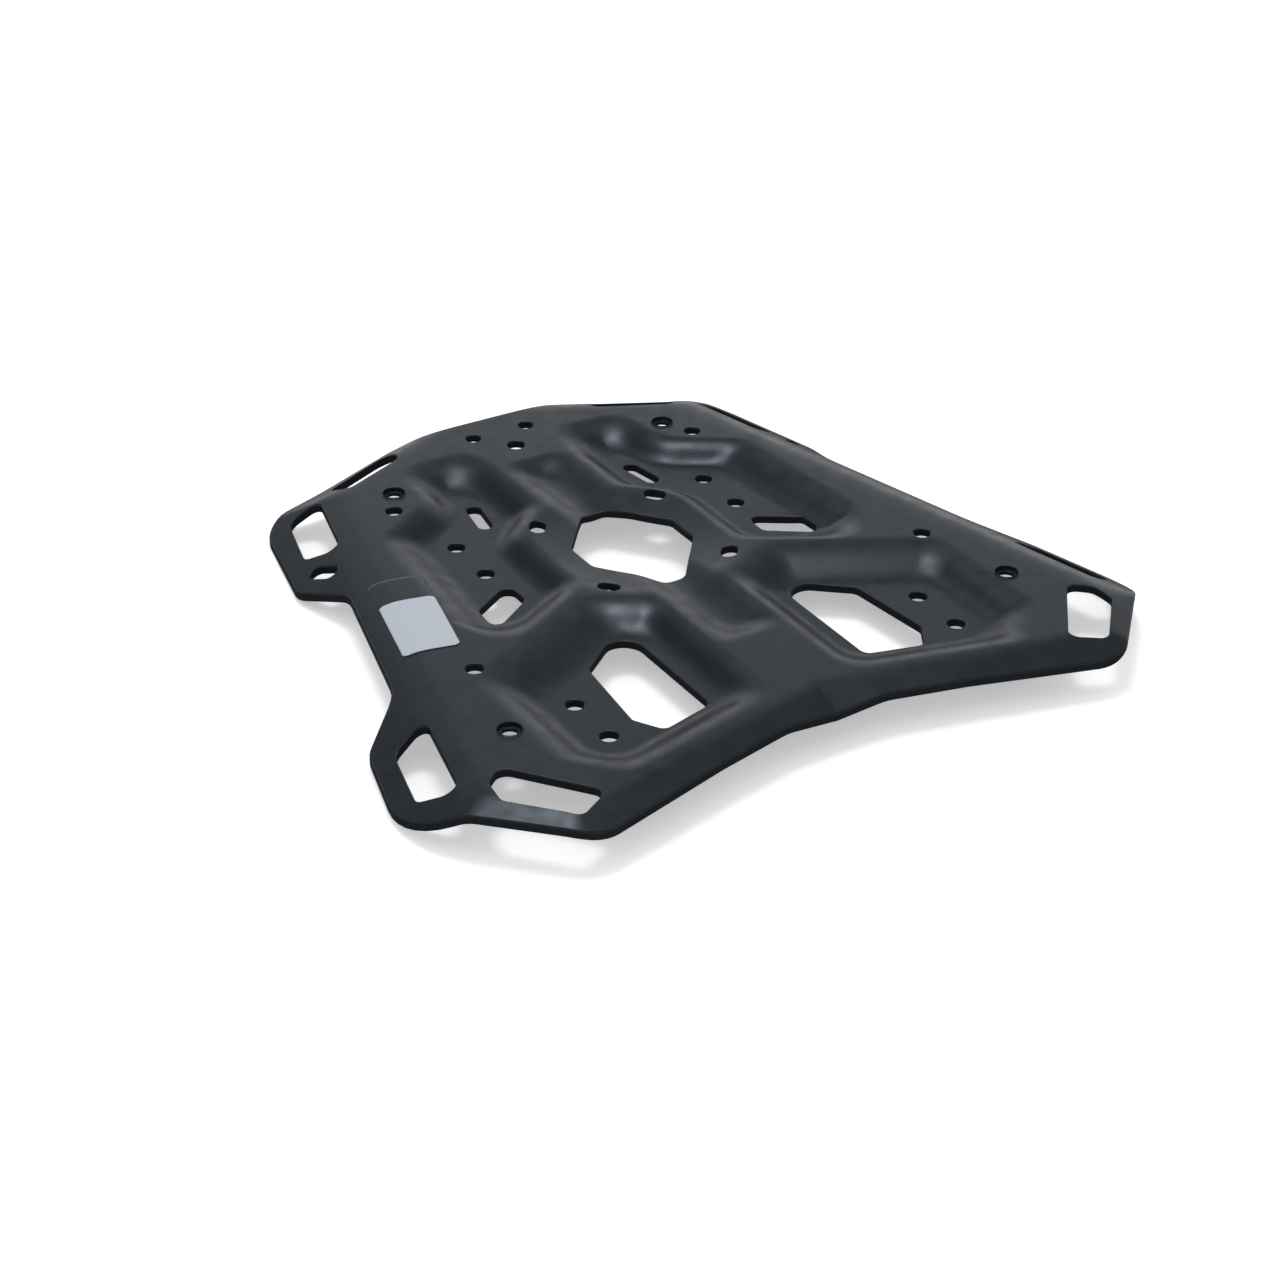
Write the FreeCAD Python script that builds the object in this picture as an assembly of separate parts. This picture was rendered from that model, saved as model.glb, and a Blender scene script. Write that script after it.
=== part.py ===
import FreeCAD, Part
import math
import os

from FreeCAD import Vector

# Luggage rack plate of a motorcycle: one pressed and pierced aluminium sheet with a blank film panel
# stuck on its left side. Millimetres. +X is the rider's right, +Y the front of the machine, +Z up.
# The origin is the centre of the middle opening, at the level of the flat rim.
# The plate is the same left and right, so each form is given once, for x of zero or more.

# Sheet
SHEET_THICKNESS = 4.0
POCKET_DEPTH = 8.6
CHANNEL_DEPTH = 5.0

# Main sizes, from the origin to corners of the outline before they are rounded: front and rear ends,
# and half widths across the front ears, the waist and the rear ears
FRONT_END = 147.0
REAR_END = 194.8
FRONT_EAR = 144.0
WAIST = 132.1
REAR_EAR = 190.7

# Outline from the front to the rear: distance inwards from the ear, distance inwards from the end of
# the plate, corner radius; the waist has its place along the plate and its radius
FRONT_OUTLINE = (
    (112.2, 0.8, 25.0),
    (101.0, 0.0, 25.0),
    (89.0, 0.0, 13.5),
    (43.7, 16.7, 60.0),
    (13.8, 17.8, 20.0),
    (0.0, 86.0, 18.0),
)
WAIST_PLACE = 30.0
WAIST_CORNER = 15.0
REAR_OUTLINE = (
    (38.4, 138.9, 27.0),
    (14.3, 116.2, 14.0),
    (0.0, 58.8, 39.0),
    (57.5, 0.0, 21.0),
    (128.2, 18.8, 90.0),
    (165.7, 27.3, 31.0),
)

# Flanks that slope down from the flat rim to the edges. Each crease, where a flank would meet the rim
# without a bend, is two points inwards from the ear and from the end of the plate; the flank is on
# the right hand of someone who goes from the first to the second. Slopes are in degrees.
SIDE_CREASE_REAR = (38.0, 83.3)
SIDE_CREASE_FRONT = (32.8, 83.5)
SIDE_BEND = 50.0
SIDE_SLOPE = 30.0
REAR_CREASE_INNER = (165.7, 40.3)
REAR_CREASE_OUTER = (100.7, 27.3)
REAR_BEND = 20.0
REAR_SLOPE = 20.0
CORNER_CREASE_REAR = (60.7, 15.3)
CORNER_CREASE_SIDE = (37.7, 41.3)
CORNER_FLANK_BEND = 35.0
CORNER_SLOPE = 17.0
FRONT_CREASE_OUTER = (69.0, 24.0)
FRONT_CREASE_INNER = (112.5, 2.0)
FRONT_BEND = 28.0
FRONT_SLOPE = 29.0

# Shallow round dish about the middle opening: its depth at the centre, and how far it reaches
DISH_DEPTH = 4.6
DISH_REACH = 55.0

# Pressed pockets, counter-clockwise: x, y at half the wall's height, and how far the wall that starts
# there runs inwards on its way down
REAR_POCKET = (
    (27.0, -138.5, 8.0),
    (97.0, -156.0, 8.5),
    (111.5, -140.0, 8.0),
    (111.5, -84.0, 15.0),
    (47.0, -50.0, 12.0),
    (27.0, -62.0, 8.0),
)
FRONT_POCKET = (
    (48.5, -20.0, 8.0),
    (92.0, -45.0, 8.0),
    (97.5, -30.0, 8.0),
    (90.0, 56.0, 8.5),
    (58.0, 77.0, 8.0),
    (56.5, 105.0, 12.0),
    (28.5, 107.0, 8.0),
    (28.5, 54.0, 8.0),
    (48.5, 34.0, 8.0),
)
# Channels along the middle, from the middle opening to their closed ends
CHANNEL_HALF_WIDTH = 9.0
CHANNEL_RUN = 6.0
CHANNEL_REAR_END = -93.0
CHANNEL_FRONT_END = 87.0
# Bend radii on the upper face: over the top of a wall, at its foot, and round an upright corner
CREST_BEND = 10.0
FOOT_BEND = 7.0
CORNER_BEND = 9.0
CHANNEL_CORNER_BEND = 7.0

# Middle opening, an eight-sided hole
MIDDLE_HALF_LENGTH = 36.8
MIDDLE_HALF_WIDTH = 27.2
MIDDLE_END_HALF = 5.8
MIDDLE_SIDE_HALF = 9.8
MIDDLE_CORNER = 5.0

# Short slots beside the middle opening, parallel to its slanted edges
SHORT_SLOT = (32.3, 33.0)
SHORT_SLOT_LENGTH = 10.5
SHORT_SLOT_WIDTH = 7.5

# Round holes: x, y of the right-hand one
BOLT_HOLE = 8.0
FRONT_BOLTS = ((68.5, 46.2), (68.5, 17.2))
REAR_BOLTS = ((90.0, -101.8), (90.0, -130.4))
RIM_BOLTS = ((83.4, 80.6), (118.4, -65.3))
# A pair and a single hole at the nose: diameters, half the pair's spacing, distances from the front
NOSE_PAIR_HOLE = 7.5
NOSE_PAIR_HALF = 14.9
NOSE_PAIR_INSET = 17.9
NOSE_SINGLE_HOLE = 8.6
NOSE_SINGLE_INSET = 34.9
# Holes with a flat seat sunk into the sheet for a screw head
SEAT_HOLES = ((128.9, -115.7), (75.4, 96.4))
SEAT_DIAMETER = 10.3
SEAT_BORE = 6.6
SEAT_DEPTH = 2.0

# Slots in the floors of the pockets: x, y, corner radius
REAR_POCKET_SLOT = (
    (40.5, -56.7, 9.0),
    (40.3, -130.5, 4.5),
    (67.0, -137.6, 4.0),
    (74.9, -124.4, 4.0),
    (70.4, -80.3, 5.0),
)
FRONT_POCKET_SLOT = (
    (64.8, 3.2, 4.0),
    (64.6, -12.9, 4.0),
    (88.7, -29.7, 4.0),
    (87.6, -11.4, 4.0),
)
# Slots in the ears: distance inwards from the ear, distance inwards from the end of the plate, radius
FRONT_EAR_SLOT = (
    (37.5, 33.0, 5.0),
    (26.4, 80.9, 5.0),
    (13.2, 67.1, 5.0),
    (21.9, 30.4, 6.0),
)
REAR_EAR_SLOT = (
    (37.8, 108.6, 4.0),
    (25.6, 52.4, 5.0),
    (12.1, 67.2, 5.0),
    (20.2, 102.9, 7.0),
)
REAR_CORNER_SLOT = (
    (44.8, 56.8, 5.0),
    (73.4, 20.2, 4.5),
    (57.4, 12.0, 5.0),
    (34.8, 37.1, 5.0),
    (35.9, 49.2, 4.5),
)

# Straight slots with round ends: centre, overall length and width, angle of the length from +X. The
# first is in the pocket, and the other two are placed inwards from the front ear and the front end.
POCKET_SLOT_CENTRE = (45.2, 66.8)
POCKET_SLOT_LENGTH = 23.0
POCKET_SLOT_WIDTH = 6.8
POCKET_SLOT_ANGLE = 99.0
EAR_SLOT_CENTRE = (13.6, 87.2)
EAR_SLOT_LENGTH = 15.0
EAR_SLOT_WIDTH = 7.2
EAR_SLOT_ANGLE = 66.0
FRONT_SLOT_CENTRE = (68.0, 20.0)
FRONT_SLOT_LENGTH = 44.0
FRONT_SLOT_WIDTH = 12.0
FRONT_SLOT_ANGLE = -25.0

# Blank film panel on the left flank: centre, size, and the angle of its length from +X
FILM_CENTRE = (-119.4, -10.0)
FILM_LENGTH = 66.0
FILM_WIDTH = 26.0
FILM_ANGLE = 77.5
FILM_CORNER = 2.0
FILM_THICKNESS = 0.3

# Working solids run this far, well past the plate on every side
WORKING_REACH = 2.0 * (FRONT_END + REAR_END)
# Levels between which the pocket tools stand
TOOL_TOP = 12.0
MOUTH_TOP = 3.0
MOUTH_SHARE = 0.4
# Points closer than this are one point
SAME_PLACE = 0.001


def placed(corners, ear, end):
    """Corners x, y, radius from distances inwards from an ear and from an end of the plate."""
    return [(ear - inwards, end - math.copysign(along, end), *rest) for inwards, along, *rest in corners]


def at_front(*corners):
    """Places given inwards from the front ear and the front end."""
    return placed(corners, FRONT_EAR, FRONT_END)


def at_rear(*corners):
    """Places given inwards from the rear ear and the rear end."""
    return placed(corners, REAR_EAR, -REAR_END)


def flanks():
    """Every flank of the right half: the two points of its crease, bend radius and slope."""
    return [
        (at_rear(SIDE_CREASE_REAR) + at_front(SIDE_CREASE_FRONT), SIDE_BEND, SIDE_SLOPE),
        (at_rear(REAR_CREASE_INNER, REAR_CREASE_OUTER), REAR_BEND, REAR_SLOPE),
        (at_rear(CORNER_CREASE_REAR, CORNER_CREASE_SIDE), CORNER_FLANK_BEND, CORNER_SLOPE),
        (at_front(FRONT_CREASE_OUTER, FRONT_CREASE_INNER), FRONT_BEND, FRONT_SLOPE),
    ]


def half_space(line, bend, slope, offset):
    """Everything under one bent flank: flat rim, round bend and sloping flank, moved down by offset."""
    start, end = (Vector(x, y, 0.0) for x, y in line)
    along = (end - start).normalize()
    outward = along.cross(Vector(0.0, 0.0, 1.0))
    angle = math.radians(slope)
    radius = bend - offset
    reach = bend * math.tan(angle / 2.0)
    centre = start - outward * reach - Vector(0.0, 0.0, bend)

    def on_bend(turn):
        return centre + (outward * math.sin(turn) + Vector(0.0, 0.0, math.cos(turn))) * radius

    rim_end, bend_middle, flank_start = on_bend(0.0), on_bend(angle / 2.0), on_bend(angle)
    down_flank = outward * math.cos(angle) - Vector(0.0, 0.0, math.sin(angle))
    flank_end = flank_start + down_flank * WORKING_REACH
    foot = Vector(0.0, 0.0, -WORKING_REACH)
    rim_start = rim_end - outward * 2.0 * WORKING_REACH
    profile = Part.Wire([
        Part.makeLine(rim_start, rim_end),
        Part.Arc(rim_end, bend_middle, flank_start).toShape(),
        Part.makeLine(flank_start, flank_end),
        Part.makeLine(flank_end, flank_end + foot),
        Part.makeLine(flank_end + foot, rim_start + foot),
        Part.makeLine(rim_start + foot, rim_start),
    ])
    face = Part.Face(profile)
    face.translate(along * -2.0 * WORKING_REACH)
    return face.extrude(along * 4.0 * WORKING_REACH)


def shifted_corners(corners, shifts):
    """Corners of a polygon whose sides are moved outwards, each by its own shift."""
    moved = []
    for index, corner in enumerate(corners):
        here = Vector(*corner[:2], 0.0)
        before = (here - Vector(*corners[index - 1][:2], 0.0)).normalize()
        after = (Vector(*corners[(index + 1) % len(corners)][:2], 0.0) - here).normalize()
        out_before, out_after = Vector(before.y, -before.x, 0.0), Vector(after.y, -after.x, 0.0)
        along = (shifts[index] - shifts[index - 1] * out_before.dot(out_after)) / before.dot(out_after)
        moved.append(here + out_before * shifts[index - 1] + before * along)
    return moved


def frustum(corners, shifts_at, low, high, corner_bend, offset):
    """Solid between two levels whose walls stand shifts_at(level) outside a polygon's sides."""
    floor, top = ([corner + Vector(0.0, 0.0, z) for corner in shifted_corners(corners, shifts_at(z))]
                  for z in (low, high))
    faces = [Part.Face(Part.makePolygon(ring + ring[:1])) for ring in (top, floor[::-1])]
    count = len(corners)
    for index in range(count):
        following = (index + 1) % count
        quad = [floor[index], floor[following], top[following], top[index], floor[index]]
        faces.append(Part.Face(Part.makePolygon(quad)))
    shell = Part.makeShell(faces)
    shell.sewShape()
    solid = Part.makeSolid(shell)
    for index in range(count):
        here = Vector(*corners[index][:2], 0.0)
        before = here - Vector(*corners[index - 1][:2], 0.0)
        after = Vector(*corners[(index + 1) % count][:2], 0.0) - here
        radius = corner_bend + math.copysign(offset, before.cross(after).z)
        upright = [edge for edge in solid.Edges
                   if min((vertex.Point - floor[index]).Length for vertex in edge.Vertexes) < SAME_PLACE
                   and min((vertex.Point - top[index]).Length for vertex in edge.Vertexes) < SAME_PLACE]
        solid = solid.makeFillet(radius, upright)
    return solid


def pressing(corners, depth, corner_bend, offset):
    """Tools that press one pocket: its body, and the eased mouth that follows the bend at its top.

    The offset moves every wall and the floor into the sheet, square to themselves.
    """
    def wall(z):
        return [(z + depth / 2.0) * run / depth + offset * math.hypot(run, depth) / depth
                for x, y, run in corners]

    def mouth(z):
        shifts = []
        for x, y, run in corners:
            half_slope = math.atan2(depth, run) / 2.0
            ease = CREST_BEND * (math.tan(half_slope) - math.tan(half_slope / 2.0))
            shifts.append(run / 2.0 + ease + z / math.tan(half_slope) + offset / math.sin(half_slope))
        return shifts

    body = frustum(corners, wall, -depth - offset, TOOL_TOP, corner_bend, offset)
    foot = [edge for edge in body.Edges if edge.BoundBox.ZMax < SAME_PLACE - depth - offset]
    body = body.makeFillet(FOOT_BEND + offset, foot)
    eased = frustum(corners, mouth, -depth * MOUTH_SHARE - offset, MOUTH_TOP, corner_bend, offset)
    return [body, eased]


def mirrored_solid(solid):
    """The same solid on the left half."""
    return solid.mirror(Vector(0.0, 0.0, 0.0), Vector(1.0, 0.0, 0.0))


def rim_and_flanks(offset):
    """Block under the rim and its bent flanks, before the pockets are pressed."""
    right = Part.makeBox(WORKING_REACH, 2.0 * WORKING_REACH, 2.0 * WORKING_REACH,
                         Vector(0.0, -WORKING_REACH, -WORKING_REACH))
    for crease, bend, slope in flanks():
        right = right.common(half_space(crease, bend, slope, offset), SAME_PLACE)
    return right.fuse(mirrored_solid(right)).removeSplitter()


def dish(offset):
    """Ball that presses the dish about the middle opening."""
    radius = (DISH_REACH ** 2 + DISH_DEPTH ** 2) / (2.0 * DISH_DEPTH)
    return Part.makeSphere(radius + offset, Vector(0.0, 0.0, radius - DISH_DEPTH))


def form(offset):
    """Solid under the pressed sheet's upper face, with that face moved into the sheet by offset."""
    tools = [dish(offset)]
    for corners in (REAR_POCKET, FRONT_POCKET):
        for tool in pressing(corners, POCKET_DEPTH, CORNER_BEND, offset):
            tools += [tool, mirrored_solid(tool)]
    for near, far in ((CHANNEL_REAR_END, 0.0), (0.0, CHANNEL_FRONT_END)):
        corners = [(side * CHANNEL_HALF_WIDTH, y, CHANNEL_RUN)
                   for side, y in ((-1, near), (1, near), (1, far), (-1, far))]
        tools += pressing(corners, CHANNEL_DEPTH, CHANNEL_CORNER_BEND, offset)
    solid = rim_and_flanks(offset)
    for tool in tools:
        solid = solid.cut(tool)
    return solid


def rounded_wire(corners):
    """Closed wire through corners x, y, radius: straight runs joined by tangent arcs."""
    arcs = []
    for index, (x, y, radius) in enumerate(corners):
        here = Vector(x, y, 0.0)
        back = Vector(*corners[index - 1][:2], 0.0) - here
        onward = Vector(*corners[(index + 1) % len(corners)][:2], 0.0) - here
        half_turn = (math.pi - back.getAngle(onward)) / 2.0
        reach = min(radius * math.tan(half_turn), back.Length / 2.0, onward.Length / 2.0)
        inset = reach / math.tan(half_turn) * (1.0 / math.cos(half_turn) - 1.0)
        back.normalize()
        onward.normalize()
        inward = (back + onward).normalize()
        arcs.append((here + back * reach, here + inward * inset, here + onward * reach))
    edges = []
    for arc, following in zip(arcs, arcs[1:] + arcs[:1]):
        edges.append(Part.Arc(*arc).toShape())
        if arc[2].distanceToPoint(following[0]) > SAME_PLACE:
            edges.append(Part.makeLine(arc[2], following[0]))
    return Part.Wire(edges)


def mirrored(corners):
    """The same corners on the left half, in the opposite order."""
    return [(-x, y, *rest) for x, y, *rest in reversed(corners)]


def bar_corners(centre, length, width, angle, radius):
    """Corners of a turned rectangle; a radius of half its width makes it a slot with round ends."""
    along = Vector(math.cos(math.radians(angle)), math.sin(math.radians(angle)), 0.0)
    across = Vector(-along.y, along.x, 0.0)
    corners = []
    for end, side in ((1, 1), (-1, 1), (-1, -1), (1, -1)):
        corner = Vector(*centre, 0.0) + along * (end * length / 2.0) + across * (side * width / 2.0)
        corners.append((corner.x, corner.y, radius))
    return corners


def circle_wire(x, y, diameter):
    """Round hole in plan."""
    return Part.Wire(Part.makeCircle(diameter / 2.0, Vector(x, y, 0.0)))


def round_holes():
    """Every round hole of the plate: x, y, diameter."""
    right = [(x, y, BOLT_HOLE) for x, y in FRONT_BOLTS + REAR_BOLTS + RIM_BOLTS]
    right += [(x, y, SEAT_BORE) for x, y in SEAT_HOLES]
    right.append((NOSE_PAIR_HALF, FRONT_END - NOSE_PAIR_INSET, NOSE_PAIR_HOLE))
    return right + mirrored(right) + [(0.0, FRONT_END - NOSE_SINGLE_INSET, NOSE_SINGLE_HOLE)]


def shaped_holes():
    """Corners of every opening that isn't round."""
    slant_x = MIDDLE_HALF_WIDTH - MIDDLE_END_HALF
    slant_y = MIDDLE_HALF_LENGTH - MIDDLE_SIDE_HALF
    slant = math.degrees(math.atan2(slant_y, slant_x))
    ear_slot, front_slot = at_front(EAR_SLOT_CENTRE, FRONT_SLOT_CENTRE)
    slots = [
        (POCKET_SLOT_CENTRE, POCKET_SLOT_LENGTH, POCKET_SLOT_WIDTH, POCKET_SLOT_ANGLE),
        (ear_slot, EAR_SLOT_LENGTH, EAR_SLOT_WIDTH, EAR_SLOT_ANGLE),
        (front_slot, FRONT_SLOT_LENGTH, FRONT_SLOT_WIDTH, FRONT_SLOT_ANGLE),
    ]
    for side in (1, -1):
        centre = (SHORT_SLOT[0], side * SHORT_SLOT[1])
        slots.append((centre, SHORT_SLOT_LENGTH, SHORT_SLOT_WIDTH, side * (180.0 - slant)))
    right = [REAR_POCKET_SLOT, FRONT_POCKET_SLOT, at_front(*FRONT_EAR_SLOT), at_rear(*REAR_EAR_SLOT),
             at_rear(*REAR_CORNER_SLOT)]
    right += [bar_corners(*slot, slot[2] / 2.0) for slot in slots]
    middle_right = [
        (MIDDLE_END_HALF, MIDDLE_HALF_LENGTH, MIDDLE_CORNER),
        (MIDDLE_HALF_WIDTH, MIDDLE_SIDE_HALF, MIDDLE_CORNER),
        (MIDDLE_HALF_WIDTH, -MIDDLE_SIDE_HALF, MIDDLE_CORNER),
        (MIDDLE_END_HALF, -MIDDLE_HALF_LENGTH, MIDDLE_CORNER),
    ]
    return right + [mirrored(corners) for corners in right] + [middle_right + mirrored(middle_right)]


def cutter(wire):
    """Upright solid over a plan wire."""
    plan = Part.Face(wire)
    plan.translate(Vector(0.0, 0.0, -WORKING_REACH))
    return plan.extrude(Vector(0.0, 0.0, 2.0 * WORKING_REACH))


def outline():
    """Outline of the whole plate, with its corners rounded."""
    right = at_front(*FRONT_OUTLINE) + [(WAIST, WAIST_PLACE, WAIST_CORNER)] + at_rear(*REAR_OUTLINE)
    return rounded_wire(right + mirrored(right))


def rack_plate():
    """Pressed sheet, trimmed to its outline and pierced, with seats sunk at two pairs of holes."""
    plate = cutter(outline()).common(form(0.0).cut(form(SHEET_THICKNESS)))
    wires = [circle_wire(*hole) for hole in round_holes()]
    wires += [rounded_wire(corners) for corners in shaped_holes()]
    plate = plate.cut([cutter(wire) for wire in wires])
    seats = [Part.makeCylinder(SEAT_DIAMETER / 2.0, TOOL_TOP, Vector(side * x, y, -SEAT_DEPTH))
             for x, y in SEAT_HOLES for side in (1, -1)]
    return plate.cut(seats)


def film_panel():
    """Thin panel stuck on the plate's left flank, following its upper face."""
    corners = bar_corners(FILM_CENTRE, FILM_LENGTH, FILM_WIDTH, FILM_ANGLE, FILM_CORNER)
    skin = rim_and_flanks(-FILM_THICKNESS).cut(rim_and_flanks(0.0))
    return cutter(rounded_wire(corners)).common(skin)


os.makedirs("parts", exist_ok=True)
for name, shape in (("rack_plate", rack_plate()), ("film_panel", film_panel())):
    print(name, len(shape.Solids), "solid,", round(shape.Volume, 1), "mm3,", shape.isValid(), shape.BoundBox)
    shape.Solids[0].exportStep("parts/" + name + ".step")
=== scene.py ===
"""A motorcycle's pressed luggage rack plate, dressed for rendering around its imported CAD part."""

import logging
import math
from dataclasses import dataclass, field
from enum import Enum

import bpy
import numpy as np
from mathutils import Matrix, Vector
from mathutils.geometry import delaunay_2d_cdt

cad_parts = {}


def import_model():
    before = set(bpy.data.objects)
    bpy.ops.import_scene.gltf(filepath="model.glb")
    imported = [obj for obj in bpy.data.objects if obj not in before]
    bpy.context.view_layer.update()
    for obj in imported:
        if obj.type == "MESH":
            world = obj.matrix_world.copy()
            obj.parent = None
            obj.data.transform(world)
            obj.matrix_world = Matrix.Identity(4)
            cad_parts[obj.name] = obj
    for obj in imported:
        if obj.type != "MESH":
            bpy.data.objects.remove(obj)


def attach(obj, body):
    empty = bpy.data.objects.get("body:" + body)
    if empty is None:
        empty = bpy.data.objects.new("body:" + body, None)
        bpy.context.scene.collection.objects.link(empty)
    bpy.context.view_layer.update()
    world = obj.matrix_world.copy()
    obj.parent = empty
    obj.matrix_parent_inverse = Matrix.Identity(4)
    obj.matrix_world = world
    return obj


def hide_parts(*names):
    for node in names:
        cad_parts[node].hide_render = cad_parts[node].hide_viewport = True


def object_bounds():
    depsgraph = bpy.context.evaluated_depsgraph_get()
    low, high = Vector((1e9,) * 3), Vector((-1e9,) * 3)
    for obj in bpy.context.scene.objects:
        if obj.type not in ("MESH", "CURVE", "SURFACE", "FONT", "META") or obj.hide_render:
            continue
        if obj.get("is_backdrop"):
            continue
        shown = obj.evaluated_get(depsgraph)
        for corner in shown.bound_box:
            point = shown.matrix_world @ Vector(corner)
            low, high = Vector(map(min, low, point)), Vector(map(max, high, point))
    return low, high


LOG = logging.getLogger("rack")
MM = 0.001
BODY = "root"

Corner = tuple[float, float, float]
Point = tuple[float, float]
Colour = tuple[float, float, float, float]

WHITE: Colour = (1.0, 1.0, 1.0, 1.0)
# The coat's colour and the cool tint of its reflections, which the film over it shares
COAT_COLOUR = "#191d22"
COAT_TINT: Colour = (0.78, 0.88, 1.0, 1.0)
# Size and depth of the coat's grain as drawn, which shows through the film
GRAIN_MM = 0.9
GRAIN_DEPTH_MM = 0.06
# Largest angle between neighbouring points on a corner's arc, in degrees
ARC_STEP = 9.0
# How far to each side of a point its face's slope is taken, in millimetres
SLOPE_STEP = 0.05
# Most distances that are worked out at once
BLOCK = 4_000_000

# Plan of the plate in millimetres, right half, front to rear: x, y, corner radius
OUTLINE: list[Corner] = [
    (31.8, 146.2, 25.0), (43.0, 147.0, 25.0), (55.0, 147.0, 13.5), (100.3, 130.3, 60.0),
    (130.2, 129.2, 20.0), (144.0, 61.0, 18.0), (132.1, 30.0, 15.0), (152.3, -55.9, 27.0),
    (176.4, -78.6, 14.0), (190.7, -136.0, 39.0), (133.2, -194.8, 21.0), (62.5, -176.0, 90.0),
    (25.0, -167.5, 31.0),
]
REAR_POCKET_SLOT: list[Corner] = [
    (40.5, -56.7, 9.0), (40.3, -130.5, 4.5), (67.0, -137.6, 4.0), (74.9, -124.4, 4.0),
    (70.4, -80.3, 5.0),
]
FRONT_POCKET_SLOT: list[Corner] = [
    (64.8, 3.2, 4.0), (64.6, -12.9, 4.0), (88.7, -29.7, 4.0), (87.6, -11.4, 4.0),
]
FRONT_EAR_SLOT: list[Corner] = [
    (106.5, 114.0, 5.0), (117.6, 66.1, 5.0), (130.8, 79.9, 5.0), (122.1, 116.6, 6.0),
]
REAR_EAR_SLOT: list[Corner] = [
    (152.9, -86.2, 4.0), (165.1, -142.4, 5.0), (178.6, -127.6, 5.0), (170.5, -91.9, 7.0),
]
REAR_CORNER_SLOT: list[Corner] = [
    (145.9, -138.0, 5.0), (117.3, -174.6, 4.5), (133.3, -182.8, 5.0), (155.9, -157.7, 5.0),
    (154.8, -145.6, 4.5),
]
MIDDLE_OPENING: list[Corner] = [
    (5.8, 36.8, 5.0), (27.2, 9.8, 5.0), (27.2, -9.8, 5.0), (5.8, -36.8, 5.0),
]
# Slots with round ends: centre x, y, overall length, width, angle of the length from +X
ROUND_SLOTS: list[tuple[float, float, float, float, float]] = [
    (45.2, 66.8, 23.0, 6.8, 99.0), (130.4, 59.8, 15.0, 7.2, 66.0), (76.0, 127.0, 44.0, 12.0, -25.0),
    (32.3, 33.0, 10.5, 7.5, 128.4), (32.3, -33.0, 10.5, 7.5, 51.6),
]
# Round holes of the right half: x, y, diameter
ROUND_HOLES: list[Corner] = [
    (68.5, 46.2, 8.0), (68.5, 17.2, 8.0), (90.0, -101.8, 8.0), (90.0, -130.4, 8.0),
    (83.4, 80.6, 8.0), (118.4, -65.3, 8.0), (14.9, 129.1, 7.5),
]
NOSE_HOLE: Corner = (0.0, 112.1, 8.6)
SEAT_HOLES: list[Point] = [(128.9, -115.7), (75.4, 96.4)]
# Pockets of the right half and channels of the middle: x, y at half the wall's height, and how far
# the wall that starts there runs inwards on its way down
REAR_POCKET: list[Corner] = [
    (27.0, -138.5, 10.0), (97.0, -156.0, 10.5), (111.5, -140.0, 10.5), (111.5, -84.0, 15.0),
    (47.0, -50.0, 12.0), (27.0, -62.0, 8.0),
]
FRONT_POCKET: list[Corner] = [
    (48.5, -20.0, 8.0), (92.0, -45.0, 8.0), (97.5, -30.0, 11.0), (90.0, 56.0, 8.5),
    (58.0, 77.0, 8.0), (56.5, 105.0, 12.0), (28.5, 107.0, 8.0), (28.5, 54.0, 8.0),
    (48.5, 34.0, 8.0),
]
REAR_CHANNEL: list[Corner] = [
    (-9.0, -93.0, 6.0), (9.0, -93.0, 6.0), (9.0, 0.0, 6.0), (-9.0, 0.0, 6.0),
]
FRONT_CHANNEL: list[Corner] = [
    (-9.0, 0.0, 6.0), (9.0, 0.0, 6.0), (9.0, 87.0, 6.0), (-9.0, 87.0, 6.0),
]


def linear(value: str) -> Colour:
    """Turn an sRGB hex colour into linear light.

    Args:
        value: Six hex digits, with or without a leading hash.

    Returns:
        Red, green, blue and an alpha of one, in linear light.
    """
    digits = value.lstrip("#")
    parts = (int(digits[i:i + 2], 16) / 255.0 for i in (0, 2, 4))
    red, green, blue = (c / 12.92 if c <= 0.04045 else ((c + 0.055) / 1.055) ** 2.4
                        for c in parts)
    return (red, green, blue, 1.0)


def smooth_max(a: np.ndarray, b: np.ndarray | float, width: np.ndarray | float) -> np.ndarray:
    """Larger of two heights, with the kink between them eased over a width.

    Where the two differ by less than the width, the share h that is left of it adds h squared
    times a quarter of the width, which is a parabola that meets both sides without a kink.

    Args:
        a: First height.
        b: Second height.
        width: Difference of height below which the two are blended.

    Returns:
        The blended height.
    """
    share = np.maximum(width - np.abs(a - b), 0.0) / width
    return np.maximum(a, b) + share * share * width / 4.0


def smooth_min(a: np.ndarray, b: np.ndarray | float, width: np.ndarray | float) -> np.ndarray:
    """Smaller of two heights, eased as smooth_max eases the larger."""
    return -smooth_max(-a, -b, width)


def unit(rows: np.ndarray) -> np.ndarray:
    """Directions of unit length, one row each."""
    return rows / np.linalg.norm(rows, axis=1, keepdims=True)


def lifted(plan: np.ndarray, z: np.ndarray | float) -> np.ndarray:
    """Plan positions, one row each, with a height as a third column."""
    return np.column_stack([plan, np.broadcast_to(z, len(plan))])


def bend_width(radius: float, slope: float) -> float:
    """Blend width that gives a bend of a radius between a level and a sloping face.

    The blend's second derivative is slope squared over twice the width, and its middle has half
    the slope, so the width is radius times slope squared over two, over (1 + slope squared / 4) to
    the power of one and a half.

    Args:
        radius: Bend radius in millimetres.
        slope: Rise over run of the sloping face.

    Returns:
        The width in millimetres of height.
    """
    return radius * slope ** 2 / 2.0 / (1.0 + slope ** 2 / 4.0) ** 1.5


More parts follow.
